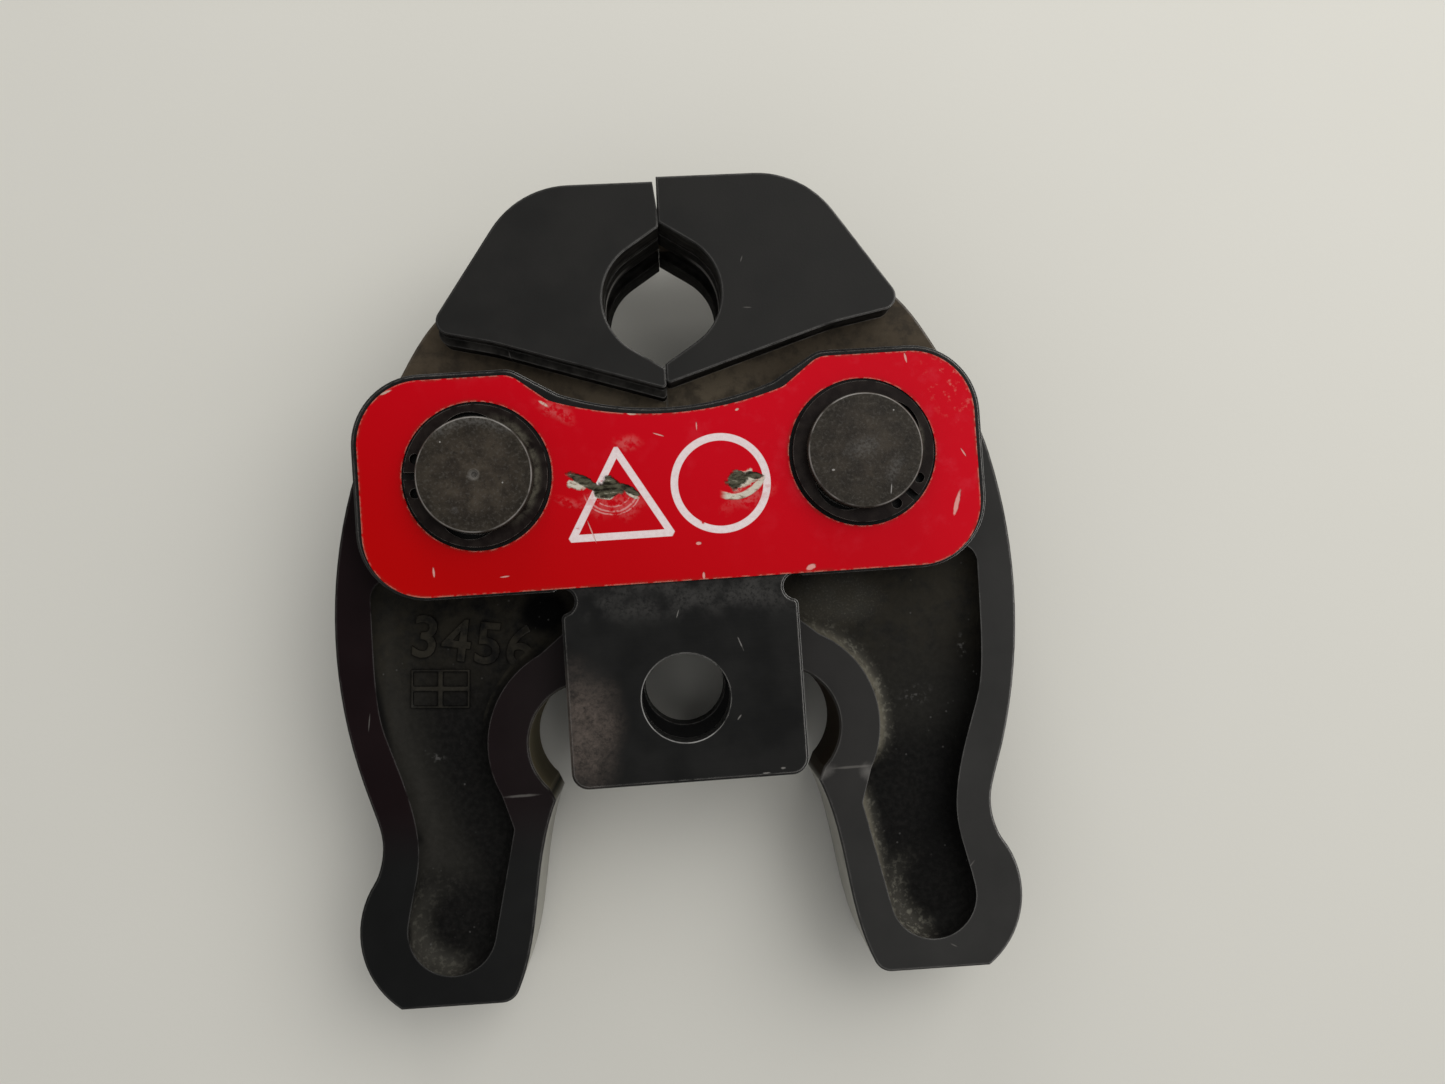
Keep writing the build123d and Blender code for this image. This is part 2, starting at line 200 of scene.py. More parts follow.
class Look:
    """One material: a Principled shader and the nodes that vary it, with x, y and z in millimetres."""

    def __init__(self, name, constants):
        self.material = bpy.data.materials.new(name)
        self.material.use_nodes = True
        self.tree = self.material.node_tree
        self.shader = self.tree.nodes["Principled BSDF"]
        for socket, value in constants.items():
            self.shader.inputs[socket].default_value = value
        self.place = self.node("TexCoord", output="Object")
        axes = self.node("SeparateXYZ", inputs={0: self.place}, output=("X", "Y", "Z"))
        self.x, self.y, self.z = [axis * MM_IN_METRE for axis in axes]

    def node(self, kind, settings=None, inputs=None, output=0):
        """Adds a node, gives it its settings and then its inputs, and returns the outputs asked for."""
        made = self.tree.nodes.new("ShaderNode" + kind)
        for name, value in (settings or {}).items():
            setattr(made, name, value)
        for key, value in (inputs or {}).items():
            if isinstance(value, Value):
                self.tree.links.new(value.socket, made.inputs[key])
            else:
                made.inputs[key].default_value = value
        if isinstance(output, tuple):
            return [Value(self, made.outputs[name]) for name in output]
        return Value(self, made.outputs[output])

    def mottle(self, size, detail=3.0, stretch=(1.0, 1.0, 1.0), shift=0.0, rough=0.5):
        """Cloudy pattern from 0 to 1, with patches about size millimetres across."""
        moved = {"Vector": self.place, "Location": (shift, shift * 0.7, shift * 0.3), "Scale": stretch}
        place = self.node("Mapping", inputs=moved)
        inputs = {"Vector": place, "Scale": MM_IN_METRE / size, "Detail": detail, "Roughness": rough}
        return self.node("TexNoise", inputs=inputs)

    def pits(self, size):
        """Distance to scattered points, about size millimetres apart, from 0 at a point."""
        return self.node("TexVoronoi", inputs={"Vector": self.place, "Scale": MM_IN_METRE / size})

    # A Mix node has its vector inputs at 4 and 5 and its colour inputs at 6 and 7, with outputs 1 and 2

    def tint(self, share, first, second):
        """Colour that goes from first to second as share goes from 0 to 1."""
        return self.node("Mix", {"data_type": "RGBA"}, {0: share, 6: first, 7: second}, output=2)

    def length(self, across, along):
        """Length of a vector in the plane from its two parts."""
        return (across * across + along * along).root()

    def near(self, x, y, half_width, half_height=None, angle=0.0):
        """Distance from a spot, 1 on the rim of an ellipse of these half sizes round it."""
        turn = math.radians(angle)
        across = (self.x - x) * math.cos(turn) + (self.y - y) * math.sin(turn)
        along = (self.y - y) * math.cos(turn) - (self.x - x) * math.sin(turn)
        across = across / half_width
        along = along / (half_height or half_width)
        return self.length(across, along)

    def spots(self, places, wobble, low, high):
        """1 inside any of these ellipses, whose rims are frayed by wobble, and 0 outside them all."""
        found = None
        for place in places:
            spot = (self.near(*place) + wobble).fall(low, high)
            found = found.most(spot) if found else spot
        return found

    def facing(self, axis):
        """Part of the surface's own direction along an axis."""
        normal = self.node("NewGeometry", output="Normal")
        return self.node("SeparateXYZ", inputs={0: normal}, output=axis)

    def edges(self, radius):
        """0 on open faces, rising to about 0.3 on sharp edges, within radius millimetres of them."""
        rounded = self.node("Bevel", {"samples": 4}, {"Radius": radius * MM})
        flat = self.node("NewGeometry", output="Normal")
        inputs = {0: rounded, 1: flat}
        return 1.0 - self.node("VectorMath", {"operation": "DOT_PRODUCT"}, inputs, output="Value")

    def relief(self, height, depth, normal=None):
        """Normal of a surface raised by height, from 0 to 1, times depth in millimetres."""
        inputs = {"Height": height, "Distance": depth * MM, "Strength": 1.0}
        if normal:
            inputs["Normal"] = normal
        return self.node("Bump", inputs=inputs)

    def vary(self, socket, value):
        """Feeds one socket of the shader."""
        self.tree.links.new(value.socket, self.shader.inputs[socket])

    def finish(self, colour, roughness, normal):
        """Feeds the shader's colour, roughness and normal, and returns the material."""
        self.vary("Base Color", colour)
        self.vary("Roughness", roughness)
        self.vary("Normal", normal)
        return self.material


def grey(level, warmth=0.0):
    """Neutral colour, redder and less blue where warmth is above 0."""
    return (level * (1.0 + warmth), level, level * (1.0 - warmth), 1.0)


def forged_steel():
    """Black forged steel: rough in the recesses, ground and handled on the rims and the head, with painted
    light and shade from the window on the right.
    """
    look = Look("forged_steel", {"Specular IOR Level": 0.06})
    level = abs(look.z)
    side = abs(look.x)
    # Share of painted window light, rising from the left of the jaw to the right
    painted_window_light = look.x.rise(-48.0, 48.0)
    on_right = look.x.rise(0.0, 5.0)
    rightward = look.x.rise(-5.0, 5.0)
    clouds = look.mottle(9.0, 4.0)
    grain = look.mottle(0.9, 4.0, shift=3.0, rough=0.6)
    lumps = look.mottle(2.6, 2.0, shift=5.0)
    fine = look.mottle(0.35, 2.0, shift=7.0)
    patchy = look.mottle(3.4, 5.0, shift=9.0, rough=0.65)

    # Distances in millimetres from the outlines of the roller pocket, cam, leg, outer flank and recess rim
    from_pocket = look.length(side - POCKET[0], look.y - POCKET[1])
    from_cam = side + look.y * CAM_SLOPE - CAM_START
    from_leg = look.x + look.y * LEG_SLOPE - LEG_START
    drop = FLANK_TOP - look.y
    from_flank = FLANK_SIDE - drop * drop * FLANK_CURVE - drop * FLANK_SLOPE - side
    from_rim = look.near(*RIM, 1.0) - RIM_RADIUS

    # Where the surface is rolled bright, ground flat or left as forged
    below_pocket = look.y.fall(-15.5, -14.0)
    cam = from_cam.fall(1.5, 2.1) * below_pocket
    contour = look.near(*CONTOUR, 1.0).fall(12.4, 12.8) * level.fall(14.6, 14.8)
    upright = abs(look.facing("Z")).fall(0.4, 0.8)
    rolled = (from_pocket.fall(10.4, 10.8) * upright).most(cam * level.fall(7.9, 8.1))
    inner = from_cam.fall(2.5, 3.0) * below_pocket
    rough = level.fall(8.2, 8.45) * (1.0 - from_pocket.fall(11.0, 12.5).most(inner)) * look.y.fall(49.0, 50.0)
    rough = rough * (1.0 - look.facing("Y").fall(-0.9, -0.7) * look.y.fall(-45.5, -44.5))
    strip = look.y.rise(44.0, 46.0) * level.fall(8.55, 8.9) * (1.0 - contour.most(upright))
    head = level.rise(11.9, 12.2)
    rims = level.rise(8.2, 8.4)

    # Ground rims, near black and a little purple on the left and grey on the right, and the greyer head: the
    # darkening towards the left and lightening towards the right is painted shade and light from the window
    left_rim = look.tint(clouds, (0.0046, 0.0019, 0.0024, 1.0), (0.0110, 0.0056, 0.0066, 1.0))
    neutral = look.y.fall(-26.0, -14.0).most(upright)
    left_rim = look.tint(neutral, left_rim, look.tint(clouds, grey(0.0052), grey(0.0110, -0.02)))
    right_rim = look.tint(clouds, grey(0.024, 0.02), grey(0.041, 0.03))
    colour = look.tint(painted_window_light, left_rim, right_rim)
    head_colour = look.tint(clouds.rise(0.3, 0.7), grey(0.0160, 0.02), grey(0.0205, 0.04))
    colour = look.tint(head, colour, look.tint(painted_window_light * 0.5, head_colour, grey(0.028, 0.03)))

    # Patchy foot of the head, and the press contour with a painted highlight along its bright band
    wall = look.tint(patchy.rise(0.35, 0.7), grey(0.004, 0.14), grey(0.035, 0.10))
    foot = look.facing("Y").fall(-0.6, -0.2) * upright
    ledge = level.fall(12.3, 12.6) * look.y.rise(40.0, 42.0) * (1.0 - upright)
    foot = foot.most(ledge) * level.rise(8.9, 9.3)
    colour = look.tint(foot * 0.9, colour, wall)
    bands = look.mottle(3.0, 3.0, stretch=(1.0, 1.0, 6.0), shift=4.0)
    inside = look.tint(bands.rise(0.35, 0.7), grey(0.006, 0.14), grey(0.030, 0.12))
    # Painted highlight: a bright band on the contour wall where the ridge catches the window light
    lip = look.z.rise(2.0, 2.3) * look.z.fall(3.6, 4.2) * bands.rise(0.2, 0.4)
    lip = lip * side.rise(4.0, 8.5)
    colour = look.tint(contour, colour, look.tint(lip * 0.9, inside, grey(0.45, 0.05)))

    # Forged recess: dull black, paler where its hollow sides face the window and darker where they face away
    pitted = look.tint(grain.rise(0.35, 0.72), grey(0.0050, 0.04), grey(0.0100, 0.06))
    left_side = from_flank.fall(0.8, 8.5) * (1.0 - rightward) * look.y.rise(-31.0, -24.0)
    right_side = from_rim.fall(0.2, 3.6) * rightward * look.y.rise(-15.0, -7.0)
    left_end = look.near(-38.6, -34.6, 7.6).rise(0.45, 1.0)
    left_end = left_end * look.x.fall(-41.5, -36.0) * look.y.fall(-36.0, -24.0)
    right_end = look.near(39.2, -34.4, 7.6).rise(0.5, 1.0) * on_right * look.x.fall(34.0, 39.5)
    right_end = right_end * look.y.fall(-38.0, -27.0)
    right_flank = from_leg.fall(0.2, 3.2) * on_right
    right_flank = right_flank * look.y.fall(-20.0, -15.0) * look.y.rise(-40.0, -33.0)
    right_top = look.near(26.0, 13.5, 9.5, 5.5).fall(0.3, 1.2)
    right_side = right_side.most(right_flank * 0.9)
    pale = (left_side * 0.3).most(right_side).most(right_top * 0.85).most(left_end * 0.62).most(right_end)
    pale = pale.most(on_right * look.y.rise(-14.0, -4.0) * 0.2)
    pale = pale * (patchy * 0.6 + 0.6)
    pitted = look.tint(pale, pitted, (0.062, 0.058, 0.049, 1.0))
    shaded = from_flank.fall(1.0, 8.5) * on_right * look.y.fall(4.0, 12.0)
    pitted = look.tint(shaded * (look.y.rise(-34.0, -24.0) * 0.42 + 0.2), pitted, grey(0.0016))

    # Rubbed places of the recess with painted highlights on its drafted walls, grit with painted glints in
    # the painted light, brown dirt below the label and a painted shadow of the plate beside the tail
    # Edges of the recess walls by the pocket rim and the cam: worn bright, and a painted highlight where the
    # drafted walls face the window
    rubbed_and_lit_edge = (from_rim.fall(0.1, 1.6) * rightward * look.y.rise(-15.0, -10.0)).most(
        from_leg.fall(0.1, 1.6) * on_right * look.y.fall(-16.0, -14.0)
    )
    pitted = look.tint(rubbed_and_lit_edge * patchy.rise(0.25, 0.55) * 0.8, pitted, (0.17, 0.155, 0.12, 1.0))
    # Grit with painted glints inside the painted light bands of the recess
    grit_and_glints = right_side.most(right_end).most(left_end * 0.3) * grain.rise(0.5, 0.66)
    grit_and_glints = grit_and_glints.most(right_top * fine.rise(0.5, 0.8) * 0.5)
    pitted = look.tint(grit_and_glints * 0.6, pitted, (0.20, 0.19, 0.155, 1.0))
    dirt = look.y.rise(-4.0, 16.0) * patchy.rise(0.3, 0.6) * 0.5
    pitted = look.tint(dirt, pitted, (0.034, 0.029, 0.020, 1.0))
    # Painted shadow of the side plate on the recess at the notch beside the tail
    pitted = look.tint(look.near(-22.2, 14.6, 4.4, 3.8).fall(0.6, 1.15), pitted, grey(0.0002))
    specks = look.pits(1.4).fall(0.05, 0.16) * look.mottle(5.0, 2.0, shift=13.0).rise(0.52, 0.7)
    rubbed = look.spots(
        ((37.9, -3.3, 3.2, 1.8, 20.0), (46.2, 4.4, 0.9, 2.4), (-41.5, -8.0, 2.0, 1.2)),
        0.0,
        0.3,
        1.1,
    )
    specks = specks.most(rubbed * grain.rise(0.52, 0.64))
    # Inside the painted light bands of the right arm the specks are painted glints
    specks = specks.most(right_flank.most(right_end) * fine.rise(0.62, 0.72))
    pitted = look.tint(specks * 0.45, pitted, grey(0.12, 0.03))

    # Tops of the raised figures, painted shadow round their feet, and the plain outer walls of the arms
    marks = look.near(-36.0, 7.0, 13.0, 10.0).fall(0.8, 1.1) * level.fall(5.2, 5.5) * look.x.fall(-5.0, 0.0)
    tops = marks * level.rise(4.92, 5.0) * patchy.rise(0.3, 0.6)
    pitted = look.tint(tops * 0.35, pitted, (0.045, 0.040, 0.030, 1.0))
    # Painted shadow along the feet of the raised figures
    feet = marks * upright * level.rise(4.53, 4.6) * level.fall(4.9, 4.97)
    pitted = look.tint(feet, pitted, grey(0.0008))
    outer = from_flank.fall(-1.0, -0.3) * look.y.rise(-22.0, -20.0)
    outer = outer.most(side.rise(46.3, 46.8).most(look.y.fall(-43.6, -43.2)) * look.y.fall(-22.0, -20.0))
    outer = outer.most(look.y.rise(36.0, 40.0))
    pitted = look.tint(outer, pitted, look.tint(clouds, grey(0.0055, 0.04), grey(0.0105, 0.05)))
    colour = look.tint(rough, colour, pitted)

    # Strip between head and label, brown with dark stains, and paler in the middle as painted light against
    # the shade of the head and plate
    brown = look.tint(grain, (0.060, 0.045, 0.030, 1.0), (0.095, 0.075, 0.052, 1.0))
    # Painted light: the middle of the strip is made paler
    brown = look.tint(side.fall(4.0, 20.0) * 0.7, brown, (0.155, 0.125, 0.088, 1.0))
    stained = look.tint(patchy.rise(0.42, 0.66) * 0.6, brown, grey(0.018, 0.16))
    colour = look.tint(strip * 0.92, colour, stained)

    # Roller pockets, paler olive on the left and dark brown on the right as painted light and shade from the
    # window, and the legs' rolled cam walls with chips
    leg = look.y.fall(-16.0, -14.5)
    # Painted light and shade: the left pocket paler, the right pocket darker
    pocket = look.tint(look.x.rise(-3.0, 3.0), (0.115, 0.098, 0.058, 1.0), (0.022, 0.013, 0.007, 1.0))
    bright = look.tint(leg, pocket, (0.38, 0.37, 0.33, 1.0))
    colour = look.tint(rolled, colour, look.tint(clouds * 0.3, bright, (0.06, 0.050, 0.036, 1.0)))
    chips = cam * patchy.rise(0.56, 0.62) * level.rise(5.0, 7.4) * look.y.rise(-34.0, -30.0) * upright
    colour = look.tint(chips, colour, grey(0.008, 0.1))

    # Worn edges, with painted highlight where they face the window, and painted bright edge lines at the
    # right of the head and the right arm
    worn = look.edges(0.35).rise(0.015, 0.09) * look.mottle(2.4, 3.0, shift=11.0).rise(0.2, 0.6)
    # Painted highlight: worn edges brighter where they face the window and on the lit right
    worn = worn * (look.facing("X").rise(-0.2, 0.5) * 0.85 + 0.15) * (painted_window_light * 0.6 + 0.4) * (1.0 - marks)
    colour = look.tint(worn, colour, grey(0.38, 0.03))
    # Painted highlight: bright lines on the right-facing edges of the head and the right arm
    outline = look.edges(0.35).rise(0.01, 0.06) * look.facing("X").rise(0.2, 0.6) * lumps.rise(0.25, 0.5)
    edge_line_places = look.z.rise(16.0, 17.0) * look.x.rise(22.0, 26.0)
    edge_line_places = edge_line_places.most(look.x.rise(38.0, 41.0) * look.z.rise(7.4, 8.0) * look.y.fall(16.0, 20.0))
    colour = look.tint(outline * edge_line_places * 0.8, colour, grey(0.60, 0.02))

    # Wear lines across the inner rims, small scratches and polished places
    lines = look.spots(((-27.2, -14.4, 3.6, 0.3), (26.2, -13.7, 4.3, 0.28)), (grain - 0.5) * 0.5, 0.3, 1.0)
    scratches = look.spots(
        (
            (38.5, -36.0, 0.9, 0.12, 62.0),
            (44.3, -31.0, 1.3, 0.12, 48.0),
            (40.6, -43.6, 0.8, 0.12, -30.0),
            (13.2, 68.3, 0.12, 0.7, -20.0),
            (13.6, 60.6, 0.9, 0.12, -5.0),
            (-24.3, 55.8, 0.12, 0.8, 12.0),
            (-50.7, -1.0, 0.12, 1.6, -8.0),
        ),
        (grain - 0.5) * 0.6,
        0.4,
        1.0,
    )
    colour = look.tint(lines.most(scratches) * rims * 0.5, colour, grey(0.15, 0.06))
    polish = look.spots(
        ((21.4, -14.3, 2.6, 1.3, 20.0), (28.6, -14.6, 2.0, 1.6, -60.0)),
        (patchy - 0.5) * 1.2,
        0.1,
        1.1,
    )
    colour = look.tint(polish * rims * 0.55, colour, grey(0.17, 0.05))

    roughness = 0.42 + rough * 0.25 + strip * 0.15 + (clouds - 0.5) * 0.2 - head * 0.04 - rolled * 0.1
    shine = rolled * leg
    roughness = roughness + upright * (1.0 - shine) * 0.3
    forged_normal = look.relief(grain, 0.07, look.relief(lumps, 0.3))
    ground_normal = look.relief(fine, 0.012)
    normals = {0: rough, 4: ground_normal, 5: forged_normal}
    normal = look.node("Mix", {"data_type": "VECTOR"}, normals, output=1)
    look.vary("Metallic", shine * 0.85)
    return look.finish(colour, roughness, normal)


def plate_steel():
    """Black plate: fine grinding lines, a worn brownish corner on the tail, grease below the label and
    painted highlights on its edges.
    """
    look = Look("plate_steel", {"Specular IOR Level": 0.08})
    lines = look.mottle(2.2, 3.0, stretch=(0.25, 6.0, 1.0))
    clouds = look.mottle(7.0, 4.0, shift=2.0)
    grain = look.mottle(0.55, 3.0, shift=4.0, rough=0.7)
    colour = look.tint(clouds.rise(0.3, 0.75), grey(0.0075), grey(0.0135, 0.02))
    front = look.z.rise(0.0, 1.0)
    patch = look.near(-16.4, -3.6, 5.6, 9.6) + (clouds - 0.5) * 1.1
    coarse = look.mottle(1.3, 6.0, shift=8.0, rough=0.85)
    worn = patch.fall(0.25, 1.35) * (coarse.rise(0.28, 0.72) * 0.7 + grain.rise(0.2, 0.7) * 0.3) * front
    colour = look.tint(worn, colour, (0.110, 0.088, 0.076, 1.0))
    grease = (look.y - 13.0).rise(-2.0, 3.2) * look.y.fall(17.9, 18.4) * look.x.rise(-17.0, -13.0)
    grease = grease * clouds.rise(0.42, 0.62) * grain.rise(0.25, 0.6)
    colour = look.tint(grease * 0.5, colour, grey(0.07, 0.05))
    edge = look.edges(0.35).rise(0.02, 0.16) * look.mottle(1.2, 3.0, shift=6.0).rise(0.2, 0.6)
    # Painted highlight on the worn edges where they face the window
    edge = edge * (look.facing("X").rise(-0.3, 0.4) * 0.65 + 0.3)
    colour = look.tint(edge, colour, grey(0.36, 0.04))
    # Painted highlight along the right-facing edges of the front, and the worn bright rim of the tool pin
    # bore
    right_edge_highlight = look.edges(0.35).rise(0.01, 0.08) * look.facing("X").rise(0.1, 0.5) * look.z.rise(12.0, 13.0)
    right_edge_highlight = right_edge_highlight * clouds.rise(0.2, 0.45)
    bore_rim = look.near(0.0, 0.0, 1.0).fall(7.02, 7.18) * (look.x + look.y).fall(-4.0, 3.0)
    bore_rim = bore_rim * look.z.rise(14.2, 14.6) * clouds.rise(0.3, 0.6) * 0.7
    colour = look.tint(right_edge_highlight.most(bore_rim) * 0.8, colour, grey(0.58, 0.02))
    flecks = look.spots(
        (
            (11.8, -12.6, 0.7, 0.16),
            (14.4, -12.0, 0.4, 0.2),
            (8.1, -3.6, 0.6, 0.12, 50.0),
            (9.0, 8.0, 0.12, 1.4, 20.0),
            (-0.5, 13.2, 1.0, 0.1, 70.0),
        ),
        (grain - 0.5) * 1.6,
        0.4,
        1.0,
    )
    colour = look.tint(flecks * front * 0.6, colour, grey(0.24, 0.05))
    roughness = 0.4 + (lines - 0.5) * 0.16 + worn * 0.2 + (clouds - 0.5) * 0.16
    normal = look.relief(grain, 0.02, look.relief(lines, 0.02))
    return look.finish(colour, roughness, normal)


def pin_steel():
    """Worn round pin: mottled end face with faint turned rings, a rubbed middle and a bright edge."""
    look = Look("pin_steel", {"Specular IOR Level": 0.14})
    clouds = look.mottle(3.2, 5.0, rough=0.62)
    grain = look.mottle(0.5, 3.0, shift=5.0, rough=0.65)
    colour = look.tint(clouds.rise(0.3, 0.72), (0.021, 0.016, 0.012, 1.0), (0.056, 0.044, 0.032, 1.0))
    colour = look.tint(look.x.rise(-10.0, 10.0) * 0.25, colour, grey(0.012, 0.1))
    from_left = look.near(*PIN_LEFT, 1.0)
    radius = look.near(*PIN_RIGHT, 1.0).least(from_left)
    rings = {"W": radius * 0.8 + clouds * 1.6, "Detail": 4.0, "Scale": 1.0}
    turned = look.node("TexNoise", {"noise_dimensions": "1D"}, rings)
    colour = look.tint(radius.rise(3.5, 8.5) * 0.5, colour, (0.012, 0.010, 0.007, 1.0))
    turned = turned.rise(0.48, 0.66) * grain.rise(0.35, 0.65)
    colour = look.tint(turned * 0.22, colour, (0.070, 0.062, 0.048, 1.0))
    centre = look.near(-30.2, 36.7, 1.0).fall(0.5, 1.1)
    pits = look.mottle(0.9, 4.0, shift=11.0, rough=0.7)
    colour = look.tint(pits.rise(0.52, 0.7) * 0.55, colour, (0.010, 0.008, 0.006, 1.0))
    colour = look.tint(grain.rise(0.5, 0.7) * 0.36, colour, grey(0.080, 0.10))
    colour = look.tint(centre * grain.rise(0.2, 0.5) * 0.8, colour, grey(0.16, 0.08))
    rubbed = look.spots(
        (
            (30.2, 37.2, 3.4, 2.0, 10.0),
            (34.5, 33.5, 2.4, 1.2, 60.0),
            (-30.6, 36.6, 0.9, 0.7),
            (-33.4, 31.4, 0.7, 0.6),
        ),
        (clouds - 0.5) * 1.2,
        0.2,
        1.2,
    )
    colour = look.tint(rubbed * grain.rise(0.3, 0.6) * 0.4, colour, grey(0.10, 0.06))
    crescent = from_left.rise(7.0, 8.2) * look.y.rise(42.0, 44.0) * look.x.fall(-20.0, 0.0)
    colour = look.tint(crescent * grain.rise(0.3, 0.6) * 0.4, colour, grey(0.12, 0.05))
    specks = look.spots(
        (
            (35.0, 42.6, 0.16),
            (33.8, 30.4, 0.1, 1.0, -8.0),
            (25.0, 33.9, 0.3, 0.2),
            (-25.9, 35.2, 0.16),
            (-35.0, 42.0, 0.16),
        ),
        0.0,
        0.5,
        1.0,
    )
    colour = look.tint(specks * 0.7, colour, grey(0.40, 0.04))
    rim = abs(radius - PIN_RADIUS).fall(0.03, 0.14) * abs(look.z).rise(17.0, 17.6)
    rim = rim * look.mottle(3.6, 4.0, shift=6.0).rise(0.3, 0.6)
    colour = look.tint(rim * 0.7, colour, grey(0.34, 0.05))
    roughness = 0.36 + (clouds - 0.5) * 0.3
    normal = look.relief(look.mottle(0.4, 3.0, shift=8.0), 0.025)
    return look.finish(colour, roughness, normal)


def ring_steel():
    """Dark spring steel ring with dust in its corners."""
    look = Look("ring_steel", {"Specular IOR Level": 0.1})
    clouds = look.mottle(1.6, 4.0)
    colour = look.tint(clouds.rise(0.35, 0.7), (0.0060, 0.0028, 0.0024, 1.0), (0.0140, 0.0095, 0.0080, 1.0))
    grain = look.mottle(0.5, 4.0, shift=5.0, rough=0.65)
    from_left = look.near(*PIN_LEFT, 1.0)
    band = from_left.rise(8.9, 9.2) * from_left.fall(9.4, 10.5)
    band = band * look.x.rise(-29.0, -23.0) * look.x.fall(-10.0, 0.0) * look.y.rise(27.0, 33.0)
    dusty = band.most(look.spots(((39.2, 38.0, 0.9, 3.6),), (clouds - 0.5) * 1.4, 0.3, 1.1))
    dusty = dusty * clouds.rise(0.3, 0.55) * (grain.rise(0.3, 0.6) * 0.6 + 0.4)
    colour = look.tint(dusty * 0.8, colour, (0.105, 0.095, 0.072, 1.0))
    edge = look.edges(0.2).rise(0.03, 0.2) * clouds.rise(0.35, 0.55)
    colour = look.tint(edge * 0.55, colour, grey(0.18, 0.08))
    roughness = 0.42 + (clouds - 0.5) * 0.3
    return look.finish(colour, roughness, look.relief(clouds, 0.03))


def spring_steel():
    """Oiled spring wire."""
    look = Look("spring_steel", {"Metallic": 0.8, "Specular IOR Level": 0.5})
    clouds = look.mottle(1.5, 3.0)
    colour = look.tint(clouds, grey(0.08), grey(0.16, 0.03))
    return look.finish(colour, 0.3 + clouds * 0.15, look.relief(clouds, 0.02))


